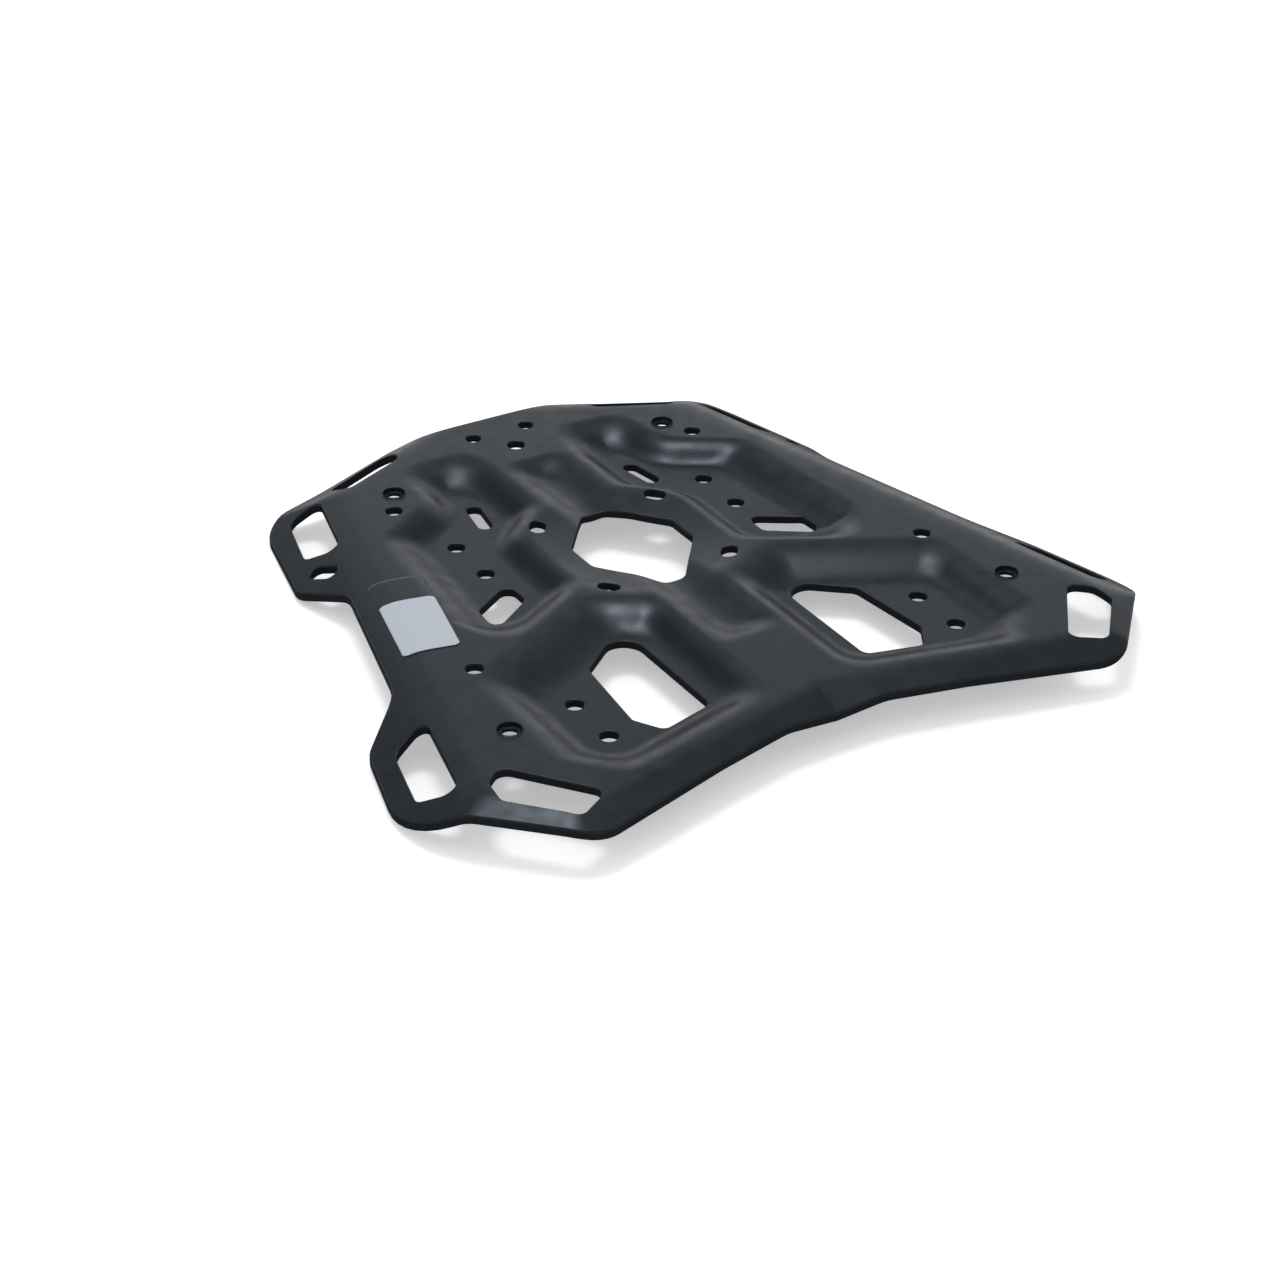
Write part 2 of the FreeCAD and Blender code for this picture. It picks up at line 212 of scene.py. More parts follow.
@dataclass
class Flank:
    """Sloping side of the plate beyond a bend in the flat rim.

    Attributes:
        start: First point of the line where flank and rim would meet without a bend.
        end: Second point; the flank is on the right hand from start to end.
        bend: Bend radius on the upper face.
        slope: Angle of the flank in degrees.
    """

    start: Point
    end: Point
    bend: float
    slope: float

    def height(self, x: np.ndarray, y: np.ndarray, offset: float) -> np.ndarray:
        """Height of the rim, bend and flank: level, then a circle's arc, then a straight slope.

        Args:
            x: Plan positions across.
            y: Plan positions along.
            offset: Depth under the upper face, square to it.

        Returns:
            Heights in millimetres.
        """
        run = np.subtract(self.end, self.start)
        along = run / np.hypot(*run)
        out = (x - self.start[0]) * along[1] - (y - self.start[1]) * along[0]
        angle = math.radians(self.slope)
        radius = self.bend - offset
        past = out + self.bend * math.tan(angle / 2.0)
        in_bend = np.clip(past, 0.0, radius * math.sin(angle))
        beyond = np.maximum(past - radius * math.sin(angle), 0.0)
        return -self.bend + np.sqrt(radius ** 2 - in_bend ** 2) - beyond * math.tan(angle)


@dataclass
class Pocket:
    """Walls of one pressed pocket.

    Attributes:
        corners: Counter-clockwise x, y at half the wall's height, and the run of the wall that
            starts there; the outline turns left at the first one.
        depth: Depth of the floor under the rim.
        corner_bend: Radius between neighbouring walls, in plan.
    """

    corners: list[Corner]
    depth: float
    corner_bend: float

    @staticmethod
    def corner_width(before: np.ndarray, after: np.ndarray, radius: float) -> float:
        """Blend width that rounds the level lines of a corner between two walls.

        It is the sum of the two slopes times the radius times the squared sine of half the turn,
        over its cosine.

        Args:
            before: Direction along the first wall, as long as its slope.
            after: The same for the second wall.
            radius: Radius in plan.

        Returns:
            The width in millimetres of height.
        """
        slopes = np.hypot(*before), np.hypot(*after)
        cosine = float(np.clip(before @ after / (slopes[0] * slopes[1]), -1.0, 1.0))
        half_turn = math.acos(cosine) / 2.0
        width = float(slopes[0] + slopes[1]) * radius * math.sin(half_turn) ** 2
        return width / math.cos(half_turn)

    def walls(self, x: np.ndarray, y: np.ndarray, offset: float) -> np.ndarray:
        """Height of the pocket's walls, each a sloping plane, eased at every corner.

        Where the outline turns right the lower of the two planes counts, with twice the bend, and
        then the highest of all of them.

        Args:
            x: Plan positions across.
            y: Plan positions along.
            offset: Depth under the upper face, square to it.

        Returns:
            Heights in millimetres, without the floor.
        """
        planes: list[tuple[np.ndarray, np.ndarray, np.ndarray]] = []
        for index, (px, py, run) in enumerate(self.corners):
            following = self.corners[(index + 1) % len(self.corners)]
            along = np.array([following[0] - px, following[1] - py])
            steep = along / np.hypot(*along) * self.depth / run
            height = (x - px) * steep[1] - (y - py) * steep[0] - self.depth / 2.0
            height = height - offset * math.hypot(1.0, self.depth / run)
            first = steep
            if planes and planes[-1][2][0] * steep[1] < planes[-1][2][1] * steep[0]:
                before, first, last = planes.pop()
                ridge = 2.0 * self.corner_bend - offset
                height = smooth_min(before, height, self.corner_width(last, steep, ridge))
            planes.append((height, first, steep))
        valley = self.corner_bend + offset
        previous = planes[-1:] + planes[:-1]
        corners = [smooth_max(before, after, self.corner_width(last, first, valley))
                   for (before, _, last), (after, first, _) in zip(previous, planes)]
        return np.maximum.reduce(corners)


@dataclass
class PressedSheet:
    """Height of the pressed sheet over its plan, the same left and right.

    Attributes:
        thickness: Sheet thickness.
        crest_bend: Radius over the top of a pocket's wall, on the upper face.
        foot_bend: Radius at the foot of a pocket's wall.
        wall_slope: Usual slope of a wall, which sets the blends.
        crease: Difference of height over which two flanks run into each other.
        pocket_depth: Depth of the pockets' floors under the rim.
        channel_depth: Depth of the channels' floors.
        corner_bend: Radius in plan between a pocket's walls.
        channel_bend: Radius in plan between a channel's walls.
        dish_depth: Depth of the round dish at its centre.
        dish_reach: Distance from its centre to where the dish meets the rim.
        dish_crease: Difference of height over which the dish runs into the rim.
        side: Long flank down to both ears.
        rear: Flank at the rear edge.
        corner: Flank at the rear corner.
        front: Flank at the front edge.
    """

    thickness: float = 4.0
    crest_bend: float = 18.0
    foot_bend: float = 11.0
    wall_slope: float = 1.075
    crease: float = 1.6
    pocket_depth: float = 8.6
    channel_depth: float = 5.0
    corner_bend: float = 13.0
    channel_bend: float = 7.0
    dish_depth: float = 4.6
    dish_reach: float = 55.0
    dish_crease: float = 0.5
    side: Flank = field(
        default_factory=lambda: Flank((152.7, -111.5), (111.2, 63.5), bend=50.0, slope=30.0))
    rear: Flank = field(
        default_factory=lambda: Flank((25.0, -154.5), (90.0, -167.5), bend=20.0, slope=20.0))
    corner: Flank = field(
        default_factory=lambda: Flank((130.0, -179.5), (153.0, -153.5), bend=35.0, slope=17.0))
    front: Flank = field(
        default_factory=lambda: Flank((75.0, 123.0), (31.5, 145.0), bend=28.0, slope=29.0))

    def pockets(self) -> list[Pocket]:
        """Rear and front pocket of the right half."""
        return [Pocket(ring, self.pocket_depth, self.corner_bend)
                for ring in (REAR_POCKET, FRONT_POCKET)]

    def channels(self) -> list[Pocket]:
        """Rear and front channel along the middle."""
        return [Pocket(ring, self.channel_depth, self.channel_bend)
                for ring in (REAR_CHANNEL, FRONT_CHANNEL)]

    def height(self, x: np.ndarray, y: np.ndarray, offset: float = 0.0) -> np.ndarray:
        """Height of the upper face, or of a face at an offset under it.

        The rim with its flanks is the lowest of four bent faces and the hollow of the dish's ball.
        Every pocket is the higher of its walls and its floor, and the sheet is the lower of the rim
        and the pockets, all eased.

        Args:
            x: Plan positions across.
            y: Plan positions along.
            offset: Depth under the upper face, square to it.

        Returns:
            Heights in millimetres.
        """
        across = np.abs(x)
        height = self.side.height(across, y, offset)
        for flank in (self.rear, self.corner, self.front):
            height = smooth_min(height, flank.height(across, y, offset), self.crease)
        ball = (self.dish_reach ** 2 + self.dish_depth ** 2) / (2.0 * self.dish_depth)
        under = np.sqrt(np.maximum((ball + offset) ** 2 - x ** 2 - y ** 2, 0.0))
        height = smooth_min(height, ball - self.dish_depth - under, self.dish_crease)
        crest = bend_width(self.crest_bend - offset, self.wall_slope)
        foot = bend_width(self.foot_bend + offset, self.wall_slope)
        sunk = [(pocket, across) for pocket in self.pockets()]
        sunk += [(channel, x) for channel in self.channels()]
        for pocket, place in sunk:
            pressed = smooth_max(pocket.walls(place, y, offset), -pocket.depth - offset, foot)
            height = smooth_min(height, pressed, crest)
        return height

    def normal(self, x: np.ndarray, y: np.ndarray, offset: float = 0.0) -> np.ndarray:
        """Unit normal of a face, from the differences of its height a small step to each side.

        Args:
            x: Plan positions across.
            y: Plan positions along.
            offset: Depth under the upper face, square to it.

        Returns:
            Upward normals, one row each.
        """
        step = SLOPE_STEP
        rise_x = self.height(x + step, y, offset) - self.height(x - step, y, offset)
        rise_y = self.height(x, y + step, offset) - self.height(x, y - step, offset)
        slope_x, slope_y = rise_x / (2.0 * step), rise_y / (2.0 * step)
        return unit(np.stack([-slope_x, -slope_y, np.ones_like(slope_x)], axis=1))


@dataclass
class PlanLoop:
    """Closed line in plan with the direction that points out of the sheet at every point.

    Attributes:
        points: Positions, one row each.
        outward: Unit directions that lead out of the sheet.
    """

    points: np.ndarray
    outward: np.ndarray

    def moved(self, distance: float) -> np.ndarray:
        """Points shifted out of the sheet by a distance."""
        return self.points + self.outward * distance

    def mirrored(self) -> "PlanLoop":
        """The same loop on the left half, in the same turning sense."""
        flip = np.array([-1.0, 1.0])
        return PlanLoop((self.points * flip)[::-1], (self.outward * flip)[::-1])


def rounded_loop(corners: list[Corner], spacing: float, hole: bool) -> PlanLoop:
    """Sample a polygon whose corners are rounded by tangent arcs.

    An arc's points are its centre plus its radius times the cosine and sine of evenly spaced
    angles, and a straight run's points are evenly spaced between the arcs.

    Args:
        corners: x, y and radius of each corner, counter-clockwise.
        spacing: Largest distance between neighbouring points on a straight run.
        hole: True if the sheet lies outside the loop.

    Returns:
        The loop, counter-clockwise.
    """
    ring = np.array([corner[:2] for corner in corners])
    area = np.sum(ring[:, 0] * np.roll(ring[:, 1], -1) - np.roll(ring[:, 0], -1) * ring[:, 1])
    listed = corners if area > 0.0 else corners[::-1]
    count = len(listed)
    arcs = []
    for index, (x, y, radius) in enumerate(listed):
        here = np.array([x, y])
        before = here - np.array(listed[index - 1][:2])
        after = np.array(listed[(index + 1) % count][:2]) - here
        shortest = min(np.hypot(*before), np.hypot(*after))
        before, after = before / np.hypot(*before), after / np.hypot(*after)
        turn = math.atan2(before[0] * after[1] - before[1] * after[0], before @ after)
        reach = min(radius * math.tan(abs(turn) / 2.0), shortest / 2.0)
        bend = reach / math.tan(abs(turn) / 2.0)
        side = math.copysign(1.0, turn)
        left = np.array([-before[1], before[0]]) * side
        centre = here - before * reach + left * bend
        steps = max(3, int(math.ceil(abs(turn) / math.radians(ARC_STEP))))
        start = math.atan2(-left[1], -left[0])
        angles = start + turn * np.linspace(0.0, 1.0, steps + 1)
        radial = np.stack([np.cos(angles), np.sin(angles)], axis=1)
        arcs.append((centre + radial * bend, radial * side))
    points, outward = [], []
    for index, (arc, radial) in enumerate(arcs):
        following = arcs[(index + 1) % count][0][0]
        gap = following - arc[-1]
        length = float(np.hypot(*gap))
        points.append(arc)
        outward.append(radial)
        pieces = int(math.ceil(length / spacing))
        if length < 1e-6:
            points[-1], outward[-1] = arc[:-1], radial[:-1]
        elif pieces > 1:
            share = np.linspace(0.0, 1.0, pieces + 1)[1:-1, None]
            points.append(arc[-1] + gap * share)
            outward.append(np.repeat(radial[-1:], pieces - 1, axis=0))
    sign = -1.0 if hole else 1.0
    return PlanLoop(np.concatenate(points), np.concatenate(outward) * sign)


def circle_loop(x: float, y: float, diameter: float, count: int = 40) -> PlanLoop:
    """Round hole in plan: centre plus radius times the cosine and sine of even angles.

    Args:
        x: Its centre across.
        y: Its centre along.
        diameter: Diameter of the hole.
        count: Number of points.

    Returns:
        The loop, counter-clockwise.
    """
    angles = np.arange(count) * (2.0 * math.pi / count)
    radial = np.stack([np.cos(angles), np.sin(angles)], axis=1)
    return PlanLoop(np.array([x, y]) + radial * diameter / 2.0, -radial)


def slot_corners(x: float, y: float, length: float, width: float, angle: float) -> list[Corner]:
    """Corners of a turned slot whose ends are half circles.

    Args:
        x: Its centre across.
        y: Its centre along.
        length: Overall length.
        width: Width, which is twice the corners' radius.
        angle: Angle of the length from +X in degrees.

    Returns:
        x, y and radius of each corner.
    """
    turn = math.radians(angle)
    along = np.array([math.cos(turn), math.sin(turn)]) * length / 2.0
    across = np.array([-math.sin(turn), math.cos(turn)]) * width / 2.0
    centre = np.array([x, y])
    signs = ((1, 1), (-1, 1), (-1, -1), (1, -1))
    ring = [centre + end * along + side * across for end, side in signs]
    return [(float(px), float(py), width / 2.0) for px, py in ring]


def mirrored_corners(corners: list[Corner]) -> list[Corner]:
    """The same corners on the left half, in the opposite order."""
    return [(-x, y, radius) for x, y, radius in reversed(corners)]


def inside(points: np.ndarray, ring: np.ndarray) -> np.ndarray:
    """Tell which points lie within a closed ring, by counting the sides to their right.

    Args:
        points: Positions to test, one row each.
        ring: Positions of the closed line.

    Returns:
        One truth value for each point.
    """
    found = np.zeros(len(points), dtype=bool)
    low, high = ring.min(axis=0), ring.max(axis=0)
    near = np.nonzero(np.all((points >= low) & (points <= high), axis=1))[0]
    if len(near) == 0:
        return found
    x, y = points[near, 0][:, None], points[near, 1][:, None]
    ax, ay = ring[:, 0], ring[:, 1]
    bx, by = np.roll(ax, -1), np.roll(ay, -1)
    crosses = (ay > y) != (by > y)
    rise = np.where(by == ay, 1.0, by - ay)
    at = ax + (y - ay) * (bx - ax) / rise
    found[near] = np.sum(crosses & (x < at), axis=1) % 2 == 1
    return found


def nearest(points: np.ndarray, ring: np.ndarray, reach: float) -> np.ndarray:
    """Distance from each point to the closest point of a ring.

    Args:
        points: Positions to measure from, one row each.
        ring: Positions of the closed line.
        reach: Largest distance that matters.

    Returns:
        One distance for each point, no more than reach.
    """
    distance = np.full(len(points), reach)
    low, high = ring.min(axis=0) - reach, ring.max(axis=0) + reach
    near = np.nonzero(np.all((points >= low) & (points <= high), axis=1))[0]
    for block in np.array_split(near, max(1, len(near) * len(ring) // BLOCK)):
        gap = points[block][:, None, :] - ring[None, :, :]
        distance[block] = np.sqrt(np.sum(gap * gap, axis=2)).min(axis=1, initial=reach)
    return distance


def grid_quads(rows: int, columns: int) -> np.ndarray:
    """Faces between the neighbouring points of a grid.

    Args:
        rows: Number of points along the first parameter.
        columns: Number of points along the second.

    Returns:
        Four point numbers for each face.
    """
    number = np.arange(rows * columns).reshape(rows, columns)
    quads = [number[:-1, :-1], number[1:, :-1], number[1:, 1:], number[:-1, 1:]]
    return np.stack(quads, axis=-1).reshape(-1, 4)


def make_mesh(name: str, vertices: np.ndarray, faces: list[np.ndarray],
              normals: np.ndarray | None = None) -> bpy.types.Object:
    """Put arrays of corners and faces into a new object at the origin.

    Args:
        name: Name of the piece.
        vertices: Positions in millimetres, one row each.
        faces: Arrays of vertex numbers, each with its own number of columns.
        normals: Unit normals, one for each vertex, or None to let them follow the faces.

    Returns:
        The new object, linked to the scene.
    """
    mesh = bpy.data.meshes.new(name)
    mesh.vertices.add(len(vertices))
    mesh.vertices.foreach_set("co", (vertices * MM).astype(np.float32).ravel())
    loops = np.concatenate([group.ravel() for group in faces]).astype(np.int32)
    sizes = np.concatenate([np.full(len(group), group.shape[1]) for group in faces])
    mesh.loops.add(len(loops))
    mesh.loops.foreach_set("vertex_index", loops)
    mesh.polygons.add(len(sizes))
    starts = np.concatenate([[0], np.cumsum(sizes)[:-1]]).astype(np.int32)
    mesh.polygons.foreach_set("loop_start", starts)
    mesh.update(calc_edges=True)
    mesh.polygons.foreach_set("use_smooth", np.ones(len(sizes), dtype=bool))
    if normals is not None:
        mesh.normals_split_custom_set_from_vertices(normals.astype(np.float32))
    obj = bpy.data.objects.new(name, mesh)
    bpy.context.collection.objects.link(obj)
    return obj


def add_node(tree: bpy.types.NodeTree, kind: str, settings: dict[str, object] | None = None,
             inputs: dict[str, object] | None = None,
             links: dict[str, bpy.types.NodeSocket] | None = None) -> bpy.types.Node:
    """Add a node with its settings, socket values and incoming links.

    Args:
        tree: Node tree to add to.
        kind: Type name of the node.
        settings: Attributes of the node.
        inputs: Values of input sockets by name.
        links: Output sockets that feed input sockets by name.

    Returns:
        The new node.
    """
    node = tree.nodes.new(kind)
    for key, value in (settings or {}).items():
        setattr(node, key, value)
    for key, value in (inputs or {}).items():
        node.inputs[key].default_value = value
    for key, socket in (links or {}).items():
        tree.links.new(socket, node.inputs[key])
    return node


def new_material(name: str) -> tuple[bpy.types.Material, bpy.types.NodeTree]:
    """Add a material with no nodes yet.

    Args:
        name: Name of the material.

    Returns:
        The material and its empty node tree.
    """
    material = bpy.data.materials.new(name)
    material.use_nodes = True
    material.node_tree.nodes.clear()
    return material, material.node_tree


@dataclass(frozen=True)
class PowderCoat:
    """Black polyester powder coat on aluminium sheet, sprayed and baked.

    The melt leaves a satin skin with a fine orange-peel grain, which spreads highlights and gives
    the black a soft grey bloom. Such a grain is usually about 0.3 mm; it is drawn three times as
    coarse so that it shows.

    Attributes:
        colour: Colour of the coat.
        shade_spread: Share by which the grain makes the colour darker and lighter.
        roughness: Mean roughness of the skin.
        roughness_spread: How far the roughness goes to each side of it.
        tint: Cool tint of its reflections.
        grain_mm: Size of the grain as drawn.
        grain_strength: Strength of the grain's bump.
        peel_mm: Size of the slow unevenness of the skin.
        peel_depth_mm: Depth of that unevenness.
        peel_strength: Strength of its bump.
    """

    colour: str = COAT_COLOUR
    shade_spread: float = 0.15
    roughness: float = 0.36
    roughness_spread: float = 0.05
    tint: Colour = COAT_TINT
    grain_mm: float = GRAIN_MM
    grain_strength: float = 0.8
    peel_mm: float = 9.0
    peel_depth_mm: float = 0.15
    peel_strength: float = 0.10

    def build(self) -> bpy.types.Material:
        """Build the material.

        Returns:
            The finished material.
        """
        material, tree = new_material("powder_coat_black")
        place = add_node(tree, "ShaderNodeTexCoord").outputs["Object"]
        grain = add_node(tree, "ShaderNodeTexNoise", inputs={
            "Scale": 1.0 / (self.grain_mm * MM), "Detail": 2.0, "Roughness": 0.6},
            links={"Vector": place})
        peel = add_node(tree, "ShaderNodeTexNoise", inputs={
            "Scale": 1.0 / (self.peel_mm * MM), "Detail": 1.0, "Roughness": 0.5},
            links={"Vector": place})
        rough = add_node(tree, "ShaderNodeMapRange", inputs={
            "From Min": 0.3, "From Max": 0.7, "To Min": self.roughness - self.roughness_spread,
            "To Max": self.roughness + self.roughness_spread}, links={"Value": peel.outputs["Fac"]})
        fine = add_node(tree, "ShaderNodeBump", inputs={
            "Strength": self.grain_strength, "Distance": GRAIN_DEPTH_MM * MM},
            links={"Height": grain.outputs["Fac"]})
        slow = add_node(tree, "ShaderNodeBump", inputs={
            "Strength": self.peel_strength, "Distance": self.peel_depth_mm * MM},
            links={"Height": peel.outputs["Fac"], "Normal": fine.outputs["Normal"]})
        tint = add_node(tree, "ShaderNodeMix", settings={"data_type": "RGBA"},
                        links={"Factor": grain.outputs["Fac"]})
        mean = linear(self.colour)[:3]
        for socket, share in ((6, 1.0 - self.shade_spread), (7, 1.0 + self.shade_spread)):
            tint.inputs[socket].default_value = tuple(c * share for c in mean) + (1.0,)
        shader = add_node(tree, "ShaderNodeBsdfPrincipled", inputs={
            "IOR": 1.5, "Specular Tint": self.tint}, links={
            "Base Color": tint.outputs[2], "Roughness": rough.outputs["Result"],
            "Normal": slow.outputs["Normal"]})
        add_node(tree, "ShaderNodeOutputMaterial", links={"Surface": shader.outputs["BSDF"]})
        return material


class FilmPart(Enum):
    """The two parts of the film panel."""

    BORDER = "clear"
    FACE = "silver"


@dataclass(frozen=True)
class FilmFinish:
    """Polyester film, clear at its border and silver on its face.

    The clear border only adds a little gloss over the black coat, so it has the coat's colour and
    tint. The silver is a fine even flake that looks pale grey from every side. The coat's grain
    shows through both, and less through the silver.

    Attributes:
        part: Which part of the film this is.
        low: Its darker colour.
        high: Its lighter colour.
        roughness: Roughness of its surface.
        grain_strength: Strength of the bump from the coat's grain.
        flake_mm: Size of the unevenness of its colour.
    """

    part: FilmPart
    low: str
    high: str
    roughness: float
    grain_strength: float
    flake_mm: float = 0.6

    def build(self) -> bpy.types.Material:
        """Build the material.

        Returns:
            The finished material.
        """
        material, tree = new_material("polyester_film_" + self.part.value)
        place = add_node(tree, "ShaderNodeTexCoord").outputs["Object"]
        flake = add_node(tree, "ShaderNodeTexNoise", inputs={
            "Scale": 1.0 / (self.flake_mm * MM), "Detail": 1.0}, links={"Vector": place})
        tint = add_node(tree, "ShaderNodeMix", settings={"data_type": "RGBA"},
                        links={"Factor": flake.outputs["Fac"]})
        tint.inputs[6].default_value = linear(self.low)
        tint.inputs[7].default_value = linear(self.high)
        under = add_node(tree, "ShaderNodeTexNoise", inputs={
            "Scale": 1.0 / (GRAIN_MM * MM), "Detail": 2.0}, links={"Vector": place})
        bump = add_node(tree, "ShaderNodeBump", inputs={
            "Strength": self.grain_strength, "Distance": GRAIN_DEPTH_MM * MM},
            links={"Height": under.outputs["Fac"]})
        shader = add_node(tree, "ShaderNodeBsdfPrincipled", inputs={
            "Roughness": self.roughness, "IOR": 1.5, "Specular Tint": COAT_TINT},
            links={"Base Color": tint.outputs[2], "Normal": bump.outputs["Normal"]})
        add_node(tree, "ShaderNodeOutputMaterial", links={"Surface": shader.outputs["BSDF"]})
        return material


CLEAR_BORDER = FilmFinish(FilmPart.BORDER, COAT_COLOUR, "#1b2024",
                          roughness=0.35, grain_strength=0.8)
SILVER_FACE = FilmFinish(FilmPart.FACE, "#b2b9c2", "#c6ced8",
                         roughness=0.38, grain_strength=0.3)


@dataclass
class RackPlate:
    """The pressed and pierced plate.

    Attributes:
        sheet: Height of the pressed sheet.
        grid_mm: Spacing of the points inside the plate.
        edge_mm: Spacing of the points along straight cut edges.
        clearance: Least distance of a grid point from an edge, as a share of the grid's spacing.
        weld_mm: Distance under which the triangulation takes two points as one.
        edge_round: Radius that deburring and the coat leave on cut edges.
        seat_diameter: Diameter of a sunk screw seat.
        seat_bore: Diameter of the hole in the seat.
        seat_depth: Depth of the seat.
        seat_points: Number of points round a seat.
        seat_foot: Ease between the seat's wall and the level seat.
        bore_rim: Ease at the bore's upper rim.
        bore_foot: Ease at the bore's lower rim.
    """

    sheet: PressedSheet
    grid_mm: float = 1.9
    edge_mm: float = 2.0
    clearance: float = 0.6
    weld_mm: float = 1e-6
    edge_round: float = 0.7
    seat_diameter: float = 10.3
    seat_bore: float = 6.6
    seat_depth: float = 2.0
    seat_points: int = 56
    seat_foot: float = 0.25
    bore_rim: float = 0.3
    bore_foot: float = 0.4

    def outline(self) -> PlanLoop:
        """Outer edge of the plate."""
        return rounded_loop(OUTLINE + mirrored_corners(OUTLINE), self.edge_mm, hole=False)

    def holes(self) -> list[PlanLoop]:
        """Sample every opening but the sunk seats.

        Returns:
            The openings of the right half, those of the left, and then the two in the middle.
        """
        shapes = [REAR_POCKET_SLOT, FRONT_POCKET_SLOT, REAR_EAR_SLOT, FRONT_EAR_SLOT,
                  REAR_CORNER_SLOT]
        shapes += [slot_corners(*slot) for slot in ROUND_SLOTS]
        right = [rounded_loop(shape, self.edge_mm, hole=True) for shape in shapes]
        right += [circle_loop(*hole) for hole in ROUND_HOLES]
        middle = MIDDLE_OPENING + mirrored_corners(MIDDLE_OPENING)
        return (right + [loop.mirrored() for loop in right]
                + [rounded_loop(middle, self.edge_mm, hole=True), circle_loop(*NOSE_HOLE)])

    def seats(self) -> list[PlanLoop]:
        """Upper rims of the sunk seats."""
        right = [circle_loop(x, y, self.seat_diameter, self.seat_points) for x, y in SEAT_HOLES]
        return right + [loop.mirrored() for loop in right]

    def spread(self, loops: list[PlanLoop]) -> tuple[np.ndarray, np.ndarray]:
        """Triangulate the plan inside the rounded edges.

        Args:
            loops: The outline first, then every opening.

        Returns:
            Plan positions, with the loops' own points first, and triangles.
        """
        rings = [loop.moved(-self.edge_round) for loop in loops]
        low, high = rings[0].min(axis=0), rings[0].max(axis=0)
        x = np.arange(low[0], high[0], self.grid_mm)
        y = np.arange(low[1], high[1], self.grid_mm * math.sqrt(3.0) / 2.0)
        grid_x, grid_y = np.meshgrid(x, y)
        grid_x = grid_x + (np.arange(len(y)) % 2)[:, None] * self.grid_mm / 2.0
        points = np.stack([grid_x.ravel(), grid_y.ravel()], axis=1)
        keep = inside(points, rings[0])
        for ring in rings[1:]:
            keep &= ~inside(points, ring)
        points = points[keep]
        clear = np.ones(len(points), dtype=bool)
        for ring in rings:
            clear &= nearest(points, ring, self.grid_mm) > self.grid_mm * self.clearance
        points = points[clear]
        edges, first = [], 0
        for ring in rings:
            numbers = np.arange(len(ring)) + first
            edges.append(np.stack([numbers, np.roll(numbers, -1)], axis=1))
            first += len(ring)
        every = np.concatenate(rings + [points])
        result = delaunay_2d_cdt([Vector(p) for p in every.tolist()],
                                 np.concatenate(edges).tolist(), [], 0, self.weld_mm, False)
        triangles = np.array([face for face in result[2] if len(face) == 3])
        middle = every[triangles].mean(axis=1)
        keep = inside(middle, rings[0])
        for ring in rings[1:]:
            keep &= ~inside(middle, ring)
        return every, triangles[keep]

    def edge_rows(self, loop: PlanLoop) -> tuple[list[np.ndarray], list[np.ndarray]]:
        """Rows of a plain cut edge: a quarter round, the upright cut, and a quarter round below.

        At an angle a round the edge, a point stands out by the radius times sine a and down by the
        radius times one less cosine a, and its normal turns from the face's to the outward one.

        Args:
            loop: The edge in plan.

        Returns:
            Positions and normals of each row, from the upper face to the lower.
        """
        radius = self.edge_round
        flat = lifted(loop.outward, 0.0)
        rows, normals = [], []
        for lower in (False, True):
            offset = self.sheet.thickness if lower else 0.0
            sign = -1.0 if lower else 1.0
            angles = np.radians([90.0, 60.0, 30.0] if lower else [30.0, 60.0, 90.0])
            for angle in angles:
                plan = loop.moved(-radius + radius * math.sin(angle))
                z = self.sheet.height(plan[:, 0], plan[:, 1], offset)
                face = self.sheet.normal(plan[:, 0], plan[:, 1], offset) * sign
                rows.append(lifted(plan, z - sign * radius * (1.0 - math.cos(angle))))
                normals.append(unit(face * math.cos(angle) + flat * math.sin(angle)))
        return rows, normals

    def seat_rows(self, loop: PlanLoop) -> tuple[list[np.ndarray], list[np.ndarray]]:
        """Rows of a sunk seat: wall, level seat, bore and the bore's lower rim.

        Args:
            loop: The seat's upper rim in plan.

        Returns:
            Positions and normals of each row, from the upper face to the lower.
        """
        wall = self.edge_round
        inner = (self.seat_diameter - self.seat_bore) / 2.0
        deep = -self.seat_depth
        low = -self.sheet.thickness
        foot, rim, lower = self.seat_foot, self.bore_rim, self.bore_foot
        # How far out of the sheet and how high a row lies, and the outward and upward part of its
        # normal
        steps = [
            (-0.3 * wall, -0.1 * wall, 0.5, 0.5), (0.0, -0.5 * wall, 1.0, 0.0),
            (0.0, deep + foot, 1.0, 0.0), (foot, deep, 0.0, 1.0), (inner - rim, deep, 0.0, 1.0),
            (inner, deep - rim, 1.0, 0.0), (inner, low + lower, 1.0, 0.0),
            (inner - lower, low, 0.0, -1.0),
        ]
        rows = [lifted(loop.moved(out), z) for out, z, _, _ in steps]
        normals = [unit(lifted(loop.outward * flat, up)) for _, _, flat, up in steps]
        return rows, normals

